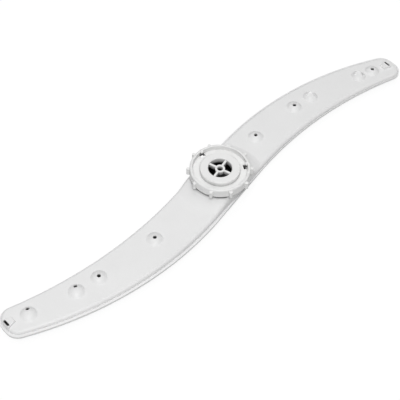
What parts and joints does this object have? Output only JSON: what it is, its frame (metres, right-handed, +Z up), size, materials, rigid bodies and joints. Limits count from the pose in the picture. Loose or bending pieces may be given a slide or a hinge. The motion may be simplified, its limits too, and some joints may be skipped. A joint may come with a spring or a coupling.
{
  "type": "dishwasher spray arm",
  "caption": "Hollow S-shaped dishwasher spray arm with domed jets on top, a spoked water inlet at its hub and a ribbed bayonet ring nut that spins on the neck.",
  "frame": {"origin": "on the hub's axis, at the arm's flat underside", "axes": "+X along the arm from tip to tip, +Y across it, +Z up out of the inlet"},
  "size_m": [0.457, 0.0778, 0.0287],
  "materials": {
    "arm_plastic": "satin, light grey-white moulded polypropylene",
    "hub_plastic": "satin, light grey-white moulded plastic"
  },
  "bodies": {
    "arm": {"upper_shell": "arm_plastic", "lower_shell": "arm_plastic", "inlet_bush": "hub_plastic"},
    "ring_nut": {"ring_nut": "hub_plastic"}
  },
  "joints": [
    {"name": "nut_spin", "type": "hinge", "parent": "arm", "child": "ring_nut", "pos_m": [0, 0, 0.0226], "axis": [0, 0, 1], "continuous": true}
  ]
}
